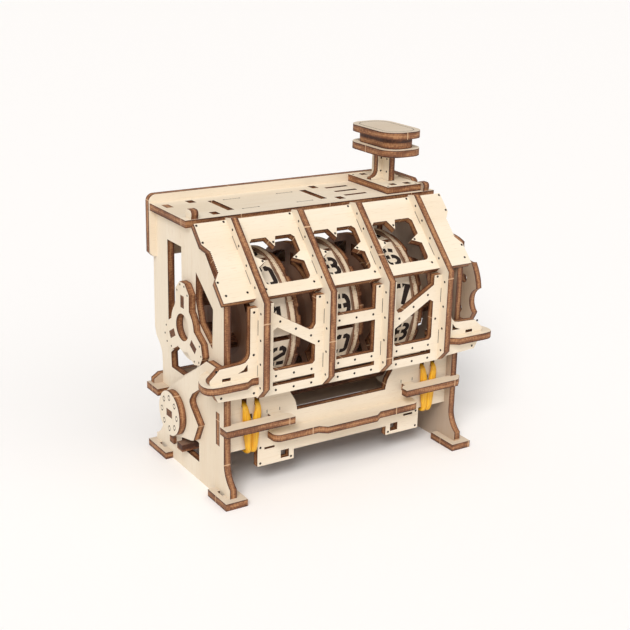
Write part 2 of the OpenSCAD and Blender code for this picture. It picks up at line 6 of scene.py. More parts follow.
import bmesh
import bpy
from mathutils import Euler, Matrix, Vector


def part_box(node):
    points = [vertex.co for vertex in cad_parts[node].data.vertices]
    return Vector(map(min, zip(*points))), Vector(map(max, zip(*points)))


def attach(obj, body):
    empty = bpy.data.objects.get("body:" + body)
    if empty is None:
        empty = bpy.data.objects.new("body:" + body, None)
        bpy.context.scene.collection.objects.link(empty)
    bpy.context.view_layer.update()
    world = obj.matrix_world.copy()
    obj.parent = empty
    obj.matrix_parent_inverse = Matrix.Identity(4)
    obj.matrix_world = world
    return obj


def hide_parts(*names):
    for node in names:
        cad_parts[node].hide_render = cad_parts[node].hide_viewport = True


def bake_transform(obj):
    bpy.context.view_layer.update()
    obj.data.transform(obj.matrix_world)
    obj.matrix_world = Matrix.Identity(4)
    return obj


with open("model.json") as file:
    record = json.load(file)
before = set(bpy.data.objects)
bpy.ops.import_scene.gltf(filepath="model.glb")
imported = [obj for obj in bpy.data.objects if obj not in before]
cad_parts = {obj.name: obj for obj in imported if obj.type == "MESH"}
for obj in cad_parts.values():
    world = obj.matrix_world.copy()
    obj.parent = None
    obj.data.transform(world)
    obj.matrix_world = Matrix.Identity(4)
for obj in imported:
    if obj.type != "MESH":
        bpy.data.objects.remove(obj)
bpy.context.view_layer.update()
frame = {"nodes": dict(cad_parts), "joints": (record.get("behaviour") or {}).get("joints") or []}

# ---- Places, all worked out from the frame ----

MM = 0.001
PLY = 3 * MM
AXIS = {"X": Vector((1, 0, 0)), "Y": Vector((0, 1, 0)), "Z": Vector((0, 0, 1))}
panel_low, panel_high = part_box("blank_panels")
window_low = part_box("lower_window_2")[0]
# The case's own origin: its middle plane, the lower windows' front face, the table
CASE = Vector(((panel_low[0] + panel_high[0]) / 2, window_low[1], 0))


def case(x, y, z):
    """A point in the frame from case coordinates in millimetres."""
    return CASE + Vector((x, y, z)) * MM


JOINTS = {joint["name"]: joint for joint in frame["joints"]}
SLOPE_ANGLE = math.radians(46)
SLOPE_NORMAL = Vector((0, -math.sin(SLOPE_ANGLE), math.cos(SLOPE_ANGLE)))
SLOPE_UP = Vector((0, math.cos(SLOPE_ANGLE), math.sin(SLOPE_ANGLE)))
# The slope's lower edge, from the front and from the table in case millimetres
SLOPE_FOOT_Y = 1.55
SLOPE_FOOT_Z = 82
DRUM_AXIS = Vector(JOINTS["drum_1_turn"]["pos_m"])
LEVER_AXIS = Vector(JOINTS["lever_swing"]["pos_m"])

# ---- Materials ----


class Shader:
    """One node material, with short calls for the nodes that the materials here share."""

    def __init__(self, name):
        self.material = bpy.data.materials.new(name)
        self.material.use_nodes = True
        self.tree = self.material.node_tree
        self.bsdf = self.tree.nodes["Principled BSDF"]
        self.place = self.node("TexCoord").outputs["Object"]
        self.normal = self.place.node.outputs["Normal"]

    def node(self, kind, inputs=(), **settings):
        """Adds a node. Each input is a plain value or another node's output."""
        node = self.tree.nodes.new("ShaderNode" + kind)
        for name, value in settings.items():
            setattr(node, name, value)
        for key, value in dict(inputs).items():
            self.feed(node.inputs[key], value)
        return node

    def feed(self, socket, value):
        if isinstance(value, bpy.types.NodeSocket):
            self.tree.links.new(value, socket)
        else:
            socket.default_value = value

    def math(self, operation, a, b=0.0):
        return self.node("Math", {0: a, 1: b}, operation=operation).outputs[0]

    def dot(self, vector, along):
        node = self.node("VectorMath", {0: vector, 1: along}, operation="DOT_PRODUCT")
        return node.outputs["Value"]

    def ramp(self, value, low, high, start=0.0, end=1.0):
        """start below low, end above high, and a smooth step between them."""
        inputs = {"Value": value, "From Min": low, "From Max": high, "To Min": start, "To Max": end}
        return self.node("MapRange", inputs, interpolation_type="SMOOTHSTEP").outputs[0]

    def mix(self, share, a, b, blend="MIX"):
        node = self.node("Mix", {0: share, 6: a, 7: b}, data_type="RGBA", blend_type=blend)
        return node.outputs[2]

    def noise(self, along, across, depth, detail=2.0, roughness=0.5):
        """Noise with its own repeats per metre along three directions."""
        parts = [self.dot(self.place, direction) for direction in (along, across, depth)]
        place = self.node("CombineXYZ", {0: parts[0], 1: parts[1], 2: parts[2]}).outputs[0]
        inputs = {"Vector": place, "Scale": 1.0, "Detail": detail, "Roughness": roughness}
        return self.node("TexNoise", inputs).outputs["Fac"]

    def surface(self, colour, roughness, height, strength, distance=0.0003):
        """Sets colour and roughness, with height as a bump, and gives back the material."""
        self.feed(self.bsdf.inputs["Base Color"], colour)
        self.feed(self.bsdf.inputs["Roughness"], roughness)
        inputs = {"Height": height, "Strength": strength, "Distance": distance}
        self.feed(self.bsdf.inputs["Normal"], self.node("Bump", inputs).outputs[0])
        return self.material


PALE = (0.820, 0.715, 0.570, 1)
STRAW = (0.730, 0.590, 0.420, 1)
FLECK = (0.540, 0.390, 0.250, 1)
CHAR = (0.060, 0.018, 0.007, 1)
BROWN = (0.195, 0.070, 0.026, 1)
TAN = (0.440, 0.215, 0.092, 1)
NICK = (0.600, 0.390, 0.230, 1)
SOOT = (0.012, 0.005, 0.003, 1)
AMBER_DEEP = (0.70, 0.30, 0.008, 1)
AMBER = (0.92, 0.52, 0.02, 1)
AMBER_CLOUD = (0.95, 0.60, 0.06, 1)
# Metres from one nick to the next, and a nick's half width as a share of that
NICK_SPACING = 0.041
NICK_HALF = 0.0048
# Height of a unit of bump, in metres, on the finest and the roughest materials
FINE_BUMP = 0.0002
RUBBER_BUMP = 0.0004


def painted_shade_colour(colour, share):
    """Painted shade: the colour taken towards the brown of an edge by a share from 0 to 1."""
    pairs = zip(colour[:3], BROWN)
    return tuple((1 - share) * part + share * dark for part, dark in pairs) + (1,)


def birch_face(shader, grain, across, normal, shade_share=0.0):
    """Colour of a sanded birch face, with the grain along one direction; the shade share darkens it
    towards brown as painted shade.
    """
    figure = shader.noise(grain * 9, across * 75, normal * 40, detail=3)
    streak = shader.noise(grain * 55, across * 1300, normal * 500, detail=2)
    pores = shader.noise(grain * 240, across * 4200, normal * 900, detail=1)
    # Painted shade: the face colours taken towards brown by the shade share
    pale, straw = (painted_shade_colour(colour, shade_share) for colour in (PALE, STRAW))
    colour = shader.mix(shader.ramp(figure, 0.35, 0.75, 0, 0.55), pale, straw)
    colour = shader.mix(shader.ramp(streak, 0.5, 0.8, 0, 0.4), colour, straw)
    fleck = shader.ramp(pores, 0.64, 0.78, 0, 0.45)
    return shader.mix(fleck, colour, painted_shade_colour(FLECK, shade_share)), streak


def charred_edge(shader, grain, across, normal, depth, paler=0.0):
    """Colour of a laser-cut edge: depth runs from 0 to 1 through the plies."""
    ripple = shader.noise(grain * 1900, across * 1900, normal * 900, detail=2)
    cloud = shader.noise(grain * 90, across * 90, normal * 700, detail=2)
    core = shader.math("ABSOLUTE", shader.math("SUBTRACT", depth, 0.5))
    light = shader.ramp(core, 0.20, 0.44, 0.72 + paler, 0.10 + paler / 2)
    glue = shader.math("ABSOLUTE", shader.math("SUBTRACT", core, 0.17))
    light = shader.math("ADD", light, shader.ramp(glue, 0.0, 0.07, -0.30, 0.0))
    light = shader.math("ADD", light, shader.ramp(cloud, 0.3, 0.7, -0.16, 0.24))
    light = shader.math("ADD", light, shader.ramp(ripple, 0.25, 0.75, -0.16, 0.18))
    colour = shader.mix(shader.ramp(light, 0.0, 0.55), CHAR, BROWN)
    colour = shader.mix(shader.ramp(light, 0.5, 1.0), colour, STRAW if paler else TAN)
    return colour, ripple


def nicks(shader, grain, across, phase):
    """1 on the short pale lines where the piece was held in its sheet."""
    found = 0.0
    for along, facing in ((grain, across), (across, grain)):
        repeats = shader.dot(shader.place, along / NICK_SPACING)
        turn = shader.math("FRACT", shader.math("ADD", repeats, phase))
        near = shader.math("ABSOLUTE", shader.math("SUBTRACT", turn, 0.5))
        line = shader.math("LESS_THAN", near, NICK_HALF)
        square = shader.math("ABSOLUTE", shader.dot(shader.normal, facing))
        line = shader.math("MULTIPLY", line, shader.math("GREATER_THAN", square, 0.7))
        found = shader.math("MAXIMUM", line, found)
    return found


def plywood(
    name, normal, grain, start, mirrored=False, phase=0.0, shade_share=0.0, back_shade_share=0.0, paler=0.0
):
    """Birch plywood whose plates face normal and begin at start along it.

    The first shade share browns both faces and the second the one that looks against normal, both as
    painted shade; paler takes the char off the edges.
    """
    shader = Shader(name)
    across = normal.cross(grain)
    face, streak = birch_face(shader, grain, across, normal, shade_share)
    place = shader.dot(shader.place, normal)
    if mirrored:
        place = shader.math("ABSOLUTE", shader.math("SUBTRACT", place, CASE.dot(normal)))
    depth = shader.math("DIVIDE", shader.math("SUBTRACT", place, start), PLY)
    edge, ripple = charred_edge(shader, grain, across, normal, depth, paler)
    edge = shader.mix(nicks(shader, grain, across, phase), edge, NICK)
    facing = shader.math("ABSOLUTE", shader.dot(shader.normal, normal))
    is_face = shader.ramp(facing, 0.80, 0.86)
    # Painted shade: the faces that look against normal are taken towards brown
    if back_shade_share:
        is_back = shader.ramp(shader.dot(shader.normal, normal), -0.86, -0.80, back_shade_share, 0)
        face = shader.mix(is_back, face, BROWN)
    height = shader.math("ADD", shader.math("MULTIPLY", streak, 0.35), ripple)
    roughness = shader.ramp(streak, 0.2, 0.8, 0.55, 0.72)
    return shader.surface(shader.mix(is_face, edge, face), roughness, height, 0.12)


def charred(name):
    """Plywood cut right round, as on the ends of the axle's spars and of the lever shaft."""
    shader = Shader(name)
    ripple = shader.noise(AXIS["X"] * 900, AXIS["Y"] * 1600, AXIS["Z"] * 1600, detail=3)
    cloud = shader.noise(AXIS["X"] * 90, AXIS["Y"] * 260, AXIS["Z"] * 260)
    colour = shader.mix(shader.ramp(ripple, 0.35, 0.7), CHAR, BROWN)
    colour = shader.mix(shader.ramp(cloud, 0.5, 0.8, 0, 0.5), colour, TAN)
    return shader.surface(colour, 0.75, ripple, 0.15)


def drum_facets(name):
    """Birch plates set round a drum, facing away from its axis."""
    shader = Shader(name)
    x = AXIS["X"]
    spoke = shader.node("VectorMath", {0: shader.place, 1: DRUM_AXIS}, operation="SUBTRACT")
    spoke = shader.node("VectorMath", {0: spoke.outputs[0], 1: (0, 1, 1)}, operation="MULTIPLY")
    spoke = shader.node("VectorMath", {0: spoke.outputs[0]}, operation="NORMALIZE")
    outward = shader.dot(spoke.outputs[0], shader.normal)
    face, streak = birch_face(shader, x, AXIS["Z"], AXIS["Y"])
    ripple = shader.noise(x * 1500, AXIS["Z"] * 1500, AXIS["Y"] * 1500)
    edge = shader.mix(shader.ramp(ripple, 0.3, 0.7), CHAR, BROWN)
    is_face = shader.ramp(shader.math("ABSOLUTE", outward), 0.80, 0.88)
    return shader.surface(shader.mix(is_face, edge, face), 0.62, streak, 0.12)


def dowel(name):
    """Round birch rod, its grain along X, a little browned."""
    shader = Shader(name)
    streak = shader.noise(AXIS["X"] * 60, AXIS["Y"] * 1800, AXIS["Z"] * 1800, detail=3)
    cloud = shader.noise(AXIS["X"] * 90, AXIS["Y"] * 200, AXIS["Z"] * 200)
    colour = shader.mix(shader.ramp(streak, 0.35, 0.7), STRAW, FLECK)
    colour = shader.mix(shader.ramp(cloud, 0.45, 0.8, 0, 0.5), colour, TAN)
    return shader.surface(colour, 0.6, streak, 0.15)


def burnt(name):
    """Soot-brown engraving of the digits, marker holes and scored lines."""
    shader = Shader(name)
    speck = shader.noise(AXIS["X"] * 1800, AXIS["Y"] * 1800, AXIS["Z"] * 1800, detail=3)
    lighter = tuple(2.2 * part for part in SOOT[:3]) + (1,)
    colour = shader.mix(shader.ramp(speck, 0.4, 0.8), SOOT, lighter)
    return shader.surface(colour, 0.85, speck, 0.2, FINE_BUMP)


def rubber(name):
    """Amber rubber with fine lengthwise ridges."""
    shader = Shader(name)
    ridges = shader.noise(AXIS["X"] * 2600, AXIS["Y"] * 2600, AXIS["Z"] * 60, detail=2)
    cloud = shader.noise(AXIS["X"] * 250, AXIS["Y"] * 250, AXIS["Z"] * 120)
    colour = shader.mix(shader.ramp(ridges, 0.3, 0.7), AMBER_DEEP, AMBER)
    colour = shader.mix(shader.ramp(cloud, 0.5, 0.8, 0, 0.5), colour, AMBER_CLOUD)
    shader.bsdf.inputs["Subsurface Weight"].default_value = 0.15
    shader.bsdf.inputs["Subsurface Radius"].default_value = (0.002, 0.001, 0.0003)
    return shader.surface(colour, 0.42, ridges, 0.35, RUBBER_BUMP)


WHEELS = ("drum_disc", "drum_ring", "carry_wheel", "stop_pawl")
# Nodes by the direction that their plates face. The grain runs along the second direction.
FACING = {
    "Z": ("X", [
        "feet", "top_plate", "key_base", "name_shelf", "guard_bars", "bracket_shelves", "rear_shelf",
        "tie_bars", "key_cap_top", "key_cap_middle", "key_cap_bottom",
    ]),
    "Y": ("X", [
        "rear_board", "lower_window_1", "lower_window_2", "lower_window_3", "front_board",
        "corner_plates", "rear_lower_board", "key_stem",
    ]),
    "X": ("Z", [
        "left_side_panel", "right_side_panel", "rib_1", "rib_2", "rib_3", "rib_4", "braces",
        "left_axle_star", "right_axle_star", "bearing_discs", "push_bar", "handwheel",
        "lever_discs", "press_arm", "left_return_arm", "right_return_arm",
        *[f"{part}_{n}" for part in WHEELS for n in (1, 2, 3)],
    ]),
}
# Nodes whose plates face the slope's normal
SLOPING = ("upper_window_1", "upper_window_2", "upper_window_3", "blank_panels")
# Nodes with a plate on each side of the middle plane
MIRRORED = {"braces", "lever_discs"}
# Painted shade: how far each node's faces are browned, from 0 to 1, for the shade that they lie in
PAINTED_SHADE = {
    "bearing_discs": 0.95, "tie_bars": 0.8, "rear_shelf": 0.3, "rear_lower_board": 0.45,
    "feet": 0.2, "key_cap_top": 0.2,
    **{f"{part}_{n}": shade_share for n in (1, 2, 3) for part, shade_share in zip(WHEELS, (0.9, 0.8, 0.95, 0.8))},
}
# Painted shade in the same way on faces that look left
LEFT_PAINTED_SHADE = {"right_side_panel": 0.5, "handwheel": 0.45}
# Pieces whose sanded rims show the wood's own colour
PALE_RIMS = {"drum_ring_1", "drum_ring_2", "drum_ring_3"}
PALE_RIM_SHARE = 0.3


def dress(node, material):
    """Puts one material in every slot of a CAD node."""
    piece = frame["nodes"][node]
    if not piece.material_slots:
        piece.data.materials.append(material)
    for slot in piece.material_slots:
        slot.link = "OBJECT"
        slot.material = material


def dress_frame():
    """Gives the CAD nodes their plywood, charred plywood or rod."""
    for facing, (grain, nodes) in FACING.items():
        normal = AXIS[facing]
        for i, node in enumerate(nodes):
            low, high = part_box(node)
            start = Vector(low).dot(normal)
            if node in MIRRORED:
                start = Vector(high).dot(normal) - CASE.dot(normal) - PLY
            phase = 0.13 + 0.29 * i
            paler = PALE_RIM_SHARE if node in PALE_RIMS else 0.0
            # Painted shade shares for both faces and for the left faces, then the rims' paler share
            shades = PAINTED_SHADE.get(node, 0.0), LEFT_PAINTED_SHADE.get(node, 0.0), paler
            mirrored = node in MIRRORED
            dress(node, plywood(f"birch_{node}", normal, AXIS[grain], start, mirrored, phase, *shades))
    slope_start = case(0, SLOPE_FOOT_Y, SLOPE_FOOT_Z).dot(SLOPE_NORMAL) - PLY
    for i, node in enumerate(SLOPING):
        material = plywood(f"birch_{node}", SLOPE_NORMAL, AXIS["X"], slope_start, phase=0.37 * i)
        dress(node, material)
    facets = drum_facets("birch_digit_plates")
    for n in (1, 2, 3):
        dress(f"digit_plates_{n}", facets)
    rod = dowel("birch_dowel")
    for node in ("pawl_rod", "reset_shaft"):
        dress(node, rod)
    dark_edge = charred("charred_plywood")
    for node in ("axle_spars", "lever_shaft"):
        dress(node, dark_edge)


# ---- Small pieces that lie on the plates ----

SKIN = 0.03 * MM
BURNT = burnt("burnt_marks")


def new_piece(name, mesh_builder, body, materials):
    """Makes one mesh object from a bmesh and lets it ride on a body, if there is one."""
    mesh = bpy.data.meshes.new(name)
    bmesh.ops.recalc_face_normals(mesh_builder, faces=mesh_builder.faces)
    mesh_builder.to_mesh(mesh)
    mesh_builder.free()
    for material in materials:
        mesh.materials.append(material)
    piece = bpy.data.objects.new(name, mesh)
    bpy.context.scene.collection.objects.link(piece)
    if body:
        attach(piece, body)
    return piece


def burnt_piece(name, builder, body):
    """A piece of burnt marks on a body."""
    return new_piece(name, builder, body, [BURNT])


def add_prism(builder, outline, lift):
    """A closed thin plate: the outline's points, carried along lift."""
    low = [builder.verts.new(point - lift) for point in outline]
    high = [builder.verts.new(point + lift) for point in outline]
    builder.faces.new(low[::-1])
    builder.faces.new(high)
    for i in range(len(outline)):
        j = (i + 1) % len(outline)
        builder.faces.new((low[i], low[j], high[j], high[i]))


def across_of(normal):
    """Two unit directions that lie in the plane facing normal."""
    first = AXIS["X"] if abs(normal.x) < 0.9 else AXIS["Y"]
    return first, normal.cross(first)


def circle(centre, normal, radius, sides, count):
    """The first count points of a circle that faces normal and has so many sides."""
    first, second = across_of(normal)
    turns = [2 * math.pi * i / sides for i in range(count)]
    return [centre + radius * (math.cos(t) * first + math.sin(t) * second) for t in turns]


def add_dot(builder, centre, normal, radius=0.5 * MM, sides=14):
    """A marker hole."""
    add_prism(builder, circle(centre, normal, radius, sides, sides), normal * SKIN)


def add_line(builder, start, end, normal, width=0.28 * MM):
    """A scored line from start to end."""
    side = (end - start).normalized().cross(normal) * width / 2
    add_prism(builder, [start - side, end - side, end + side, start + side], normal * SKIN)


def add_path(builder, points, normal, width):
    """A scored line through the points."""
    for start, end in zip(points, points[1:]):
        add_line(builder, start, end, normal, width)


def arc(cx, cy, rx, ry, start, end, steps=10):
    """Points on an ellipse from start to end degrees."""
    turns = [math.radians(start + (end - start) * i / steps) for i in range(steps + 1)]
    return [(cx + rx * math.cos(t), cy + ry * math.sin(t)) for t in turns]


def add_ring(builder, centre, normal, radius, width=0.22 * MM, sides=20):
    """A scored circle."""
    add_path(builder, circle(centre, normal, radius, sides, sides + 1), normal, width)


# Places in case millimetres: middles of the ribs and bays, and the faces that carry marks
RIB_X = (-43, -13.75, 13.75, 43)
BAY_X = (-28.375, 0, 28.375)
RIB_HALF = 1.5
TOP_Z = 106.8
KEY_BASE_Z = 109.8
BOARD_Y = 8.1
STAR_X = 59.4
AXLE_Y = 33.2
AXLE_Z = 63.4


def slope_point(x, up, lift=0.0):
    """A point on the slope, up millimetres from its lower edge and lift above it."""
    return case(x, SLOPE_FOOT_Y, SLOPE_FOOT_Z) + (SLOPE_UP * up + SLOPE_NORMAL * lift) * MM


def front_dots():
    """Marker holes on the lower windows, and on the panels under and beside them."""
    builder = bmesh.new()
    front = -AXIS["Y"]
    spots = [(x, 67.9) for x in (-8, 0, 8)] + [(x, 50.2) for x in (-8, 0, 8)]
    spots += [(x, 44.4) for x in (-8, 0, 8)] + [(x, 79.1) for x in (-10.6, 10.6)]
    for side, middle in ((1, BAY_X[0]), (-1, BAY_X[2])):
        bay = [(-6.5, 71.9), (0.5, 67.9), (7.4, 64.0), (-8, 50.1), (0, 50.1), (8, 50.1)]
        bay += [(-8, 44.4), (0, 44.4), (8, 44.4), (-11, 79.1), (11, 79.1), (-11, 61), (11, 61)]
        spots += [(middle + side * x, z) for x, z in bay]
    for side in (-1, 1):
        corner = ((60, 45.6), (46, 45), (46.2, 77.3), (46.2, 60.5), (62, 56.6))
        spots += [(side * x, z) for x, z in corner]
    for x, z in spots:
        add_dot(builder, case(x, 0, z), front)
    return burnt_piece("front_marks", builder, "frame")


def slope_dots():
    """Marker holes on the pointers and corners of the upper windows."""
    builder = bmesh.new()
    for middle in BAY_X:
        for x, up in ((0, 22.2), (-7.6, 14.8), (7.2, 14.6), (-10.6, 3.1), (10.6, 3.1)):
            add_dot(builder, slope_point(middle + x, up), SLOPE_NORMAL)
    for x in RIB_X:
        add_dot(builder, slope_point(x - 2.7, 33.5), SLOPE_NORMAL)
    for side in (-1, 1):
        for x, up in ((47, 3), (56, 3), (57.3, 33.3), (57.3, 25.9), (57.3, 8.8)):
            add_dot(builder, slope_point(side * x, up), SLOPE_NORMAL)
    return burnt_piece("slope_marks", builder, "frame")


def rib_marks():
    """Marker holes down the ribs' left faces, and the ends of the tenons between them."""
    builder = bmesh.new()
    left = -AXIS["X"]
    for x in RIB_X:
        face = x - RIB_HALF
        for z in (47.5, 57, 66.5, 77):
            add_dot(builder, case(face, -2.1, z), left)
        for up in (3.5, 13, 21.5, 28.6):
            add_dot(builder, slope_point(face, up, 2.0), left)
        for low, high in ((6, 12), (21, 27)):
            add_line(builder, slope_point(face, low, 0.2), slope_point(face, high, 0.2), left)
        for low, high in ((50, 56), (68, 74)):
            add_line(builder, case(face, -0.15, low), case(face, -0.15, high), left)
    return burnt_piece("rib_marks", builder, "frame")


def top_marks():
    """Guide lines on the top plate with a dot at both ends, and marker holes round the key."""
    builder = bmesh.new()
    up = AXIS["Z"]
    for x, y in ((-29.9, 54.2), (-5, 54.2), (-30.2, 37.7), (-5, 37.7)):
        ends = [case(x, y, TOP_Z), case(x + 7.2, y, TOP_Z)]
        add_line(builder, *ends, up)
        for end in ends:
            add_dot(builder, end, up, 0.4 * MM)
    for x, y in ((37.4, 34), (37.4, 60.4), (51.8, 34)):
        add_dot(builder, case(x, y, KEY_BASE_Z), up)
    return burnt_piece("top_marks", builder, "frame")


def board_marks():
    """Marker holes on the front board's lugs, and the shoulders of the shelf and bar tenons."""
    builder = bmesh.new()
    front = -AXIS["Y"]
    holes = ((24, 10.4), (38.2, 10.4), (38.2, 17.2), (30, 18.6), (24, 19), (50.6, 43), (34, 43))
    for side in (-1, 1):
        for x, z in holes:
            add_dot(builder, case(side * x, BOARD_Y, z), front)
        for x in (29.6, 35.4):
            add_line(builder, case(side * x, BOARD_Y, 31.7), case(side * x, BOARD_Y, 33), front)
    return burnt_piece("board_marks", builder, "frame")


def star_marks():
    """Marker holes at the tips of both axle stars."""
    builder = bmesh.new()
    for side in (-1, 1):
        for turn in (90, 210, 330):
            outward = Vector((0, math.cos(math.radians(turn)), math.sin(math.radians(turn))))
            across = Vector((0, -outward.z, outward.y))
            for far, wide in ((17.1, 1.75), (14.2, 4.4), (17.1, -1.75), (14.2, -4.4)):
                spot = case(side * STAR_X, AXLE_Y, AXLE_Z) + (outward * far + across * wide) * MM
                add_dot(builder, spot, AXIS["X"] * side, 0.42 * MM)
    return burnt_piece("star_marks", builder, "frame")


def disc_marks():
    """Eight scored rings round each lever disc, each with a dot on both sides."""
    builder = bmesh.new()
    ring_radius = 0.95 * MM
    for side, corner in zip((-1, 1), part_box("lever_discs")):
        middle = Vector((corner[0], LEVER_AXIS.y, LEVER_AXIS.z))
        facing = AXIS["X"] * side
        for i in range(8):
            turn = math.radians(45 * i)
            outward = Vector((0, math.cos(turn), math.sin(turn)))
            centre = middle + outward * 6.6 * MM
            add_ring(builder, centre, facing, ring_radius)
            for end in (-1, 1):
                add_dot(builder, centre + Vector((0, 0, end * ring_radius)), facing, 0.36 * MM)
    return burnt_piece("disc_marks", builder, "lever")


def key_marks():
    """Scored outline on the cap, and marker holes down the two stem plates."""
    builder = bmesh.new()
    low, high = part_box("key_cap_top")
    middle = Vector(((low[0] + high[0]) / 2, (low[1] + high[1]) / 2, high[2]))
    half_w, half_l, bend = 7.3, 13.4, 5.4
    corners = [(1, 1, 0), (-1, 1, 90), (-1, -1, 180), (1, -1, 270)]
    outline = []
    for x, y, start in corners:
        outline += arc(x * (half_w - bend), y * (half_l - bend), bend, bend, start, start + 90, 6)
    points = [middle + Vector((x, y, 0)) * MM for x, y in outline + outline[:1]]
    add_path(builder, points, AXIS["Z"], 0.2 * MM)
    for x, y in ((-5.7, 11.9), (5.7, -11.9)):
        add_dot(builder, middle + Vector((x, y, 0)) * MM, AXIS["Z"], 0.4 * MM)
    for z in (119, 113.5, 108.5):
        add_dot(builder, case(43.7, 44.4, z), -AXIS["X"], 0.42 * MM)
        add_dot(builder, case(42.9, 47.5, z), -AXIS["Y"], 0.42 * MM)
    return burnt_piece("key_marks", builder, "key")


# ---- Digits ----

DIGIT_HALF_W = 4.0
DIGIT_HALF_H = 3.7
DIGIT_PEN = 1.85
# Half of the stencil's bridge in the middle of a digit
DIGIT_GAP = 0.45


def digit_strokes(digit):
    """Centre lines of a stencil digit's strokes, about its middle, in millimetres."""
    w, h = DIGIT_HALF_W - DIGIT_PEN / 2, DIGIT_HALF_H
    gap = DIGIT_GAP
    top, middle, low = h, 0.25, -h
    upper = (top + middle) / 2
    lower = (low + middle) / 2
    upper_r = (top - middle) / 2
    lower_r = (middle - low) / 2
    if digit == 0:
        side = [(gap, top), (w * 0.55, top)] + arc(w * 0.55, top - 1.3, w * 0.45, 1.3, 90, 0, 5)
        side += arc(w * 0.55, low + 1.3, w * 0.45, 1.3, 0, -90, 5) + [(gap, low)]
        return [side, [(-x, y) for x, y in side]]
    if digit == 1:
        return [[(0.6, top + 0.2), (0.6, low - 0.2)], [(-w * 0.8, top - 1.7), (-gap, top - 0.2)]]
    if digit == 2:
        hook = [(gap, top), (w * 0.5, top)] + arc(w * 0.5, top - 1.5, w * 0.5, 1.5, 90, 0, 5)
        hook += [(w, middle + 0.6), (-w * 0.9, low + 1.4)]
        return [
            hook,
            [(-gap, top), (-w * 0.5, top), (-w, top - 1.6)],
            [(-w - 0.5, low), (-gap, low)],
            [(gap, low), (w + 0.6, low)],
        ]
    if digit in (3, 8):
        right = [(gap, top), (w * 0.4, top)] + arc(w * 0.4, upper, w * 0.6, upper_r, 90, -60, 8)
        right += arc(w * 0.4, lower, w * 0.6, lower_r, 60, -90, 8) + [(gap, low)]
        waist = [(gap, middle), (w * 0.7, middle)]
        if digit == 8:
            return [right, waist, [(-x, y) for x, y in right], [(-x, y) for x, y in waist]]
        return [
            right,
            waist,
            [(-gap, top), (-w * 0.8, top - 0.9)],
            [(-gap, middle), (-w * 0.6, middle)],
            [(-gap, low), (-w * 0.8, low + 0.9)],
        ]
    if digit == 4:
        return [
            [(w * 0.45, top + 0.2), (w * 0.45, low - 0.2)],
            [(-0.1, top - 0.6), (-w, lower + 0.7)],
            [(-w - 0.4, lower), (-0.1, lower)],
            [(w * 0.45, lower), (w + 0.7, lower)],
        ]
    if digit == 5:
        bowl = [(gap, middle + 0.6)] + arc(w * 0.3, lower + 0.3, w * 0.7, lower_r, 80, -90, 9)
        return [
            [(w, top), (-w * 0.8, top), (-w * 0.8, middle + 0.4), (-gap, middle + 0.6)],
            bowl + [(gap, low)],
            [(-gap, low), (-w * 0.9, low + 0.9)],
        ]
    if digit in (6, 9):
        turn = 1 if digit == 6 else -1
        left = [(-gap, top), (-w * 0.4, top)] + arc(-w * 0.3, 0, w * 0.7, h, 110, 250, 12)
        ring = [(gap, low)] + arc(w * 0.3, lower, w * 0.7, lower_r, -80, 80, 9) + [(gap, middle)]
        strokes = [
            left + [(-gap, low)],
            ring,
            [(-gap, middle), (-w * 0.8, middle - 0.2)],
            [(gap, top), (w * 0.8, top - 0.7)],
        ]
        return [[(turn * x, turn * y) for x, y in stroke] for stroke in strokes]
    return [[(-w - 0.3, top), (-gap, top)], [(gap, top), (w + 0.2, top), (-w * 0.2, low - 0.3)]]


def add_stroke(builder, points, place, lift, pen):
    """A flat pen stroke along a centre line: place turns its millimetres into the frame."""
    sides = []
    for i, (x, y) in enumerate(points):
        before = points[max(i - 1, 0)]
        after = points[min(i + 1, len(points) - 1)]
        run = Vector((after[0] - before[0], after[1] - before[1]))
        if run.length == 0:
            continue
        bend = 1.0
        if 0 < i < len(points) - 1:
            first = Vector((x - before[0], y - before[1])).normalized()
            second = Vector((after[0] - x, after[1] - y)).normalized()
            bend = 1 / max(0.6, math.sqrt(max(0.0, (1 + first.dot(second)) / 2)))
        side = Vector((-run.y, run.x)).normalized() * pen / 2 * bend
        sides.append(((x + side.x, y + side.y), (x - side.x, y - side.y)))
    rows = []
    for left, right in sides:
        rows.append([builder.verts.new(place(*p) + s * lift) for p in (left, right) for s in (-1, 1)])
    for a, b in zip(rows, rows[1:]):
        for i, j in ((0, 1), (1, 3), (3, 2), (2, 0)):
            builder.faces.new((a[i], b[i], b[j], a[j]))
    for end in (rows[0], rows[-1]):
        builder.faces.new((end[0], end[1], end[3], end[2]))


# Degrees that the middle row stands above the axle's level
DIGIT_TURN = 16.5
# Distance from the axis to the plates' outer faces
DIGIT_FACE_R = 26.5 * MM
# Distance that the digits sit to the right of their plates' middle
DIGIT_SHIFT = 1.3 * MM
# The digit on each drum's plate at the middle row when the machine is at rest
SHOWN = {1: 1, 2: 9, 3: 7}


def digits(n):
    """Ten burnt digits on the plates of drum n."""
    builder = bmesh.new()
    low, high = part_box(f"digit_plates_{n}")
    middle_x = (low[0] + high[0]) / 2 + DIGIT_SHIFT
    for k in range(10):
        turn = math.radians(DIGIT_TURN + 36 * k)
        outward = Vector((0, -math.cos(turn), math.sin(turn)))
        up = Vector((0, math.sin(turn), math.cos(turn)))
        centre = Vector((middle_x, DRUM_AXIS.y, DRUM_AXIS.z)) + outward * DIGIT_FACE_R

        def place(x, y, centre=centre, up=up):
            return centre + AXIS["X"] * x * MM + up * y * MM

        for stroke in digit_strokes((SHOWN[n] - k) % 10):
            add_stroke(builder, stroke, place, outward * SKIN, DIGIT_PEN)
    return burnt_piece(f"digits_{n}", builder, f"drum_{n}")


# ---- Rubber bands ----

BAND_X = 42.9
BAND_SPREAD = 2.8
STRAND_SIDES = 20
BAND_RIPPLES = 10
RIPPLE_DEPTH = 0.10
# Where the band sits on the return arm's tip
HOOK_Y = 15.2
HOOK_Z = 37.4
HOOK_HALF = 0.9 * MM


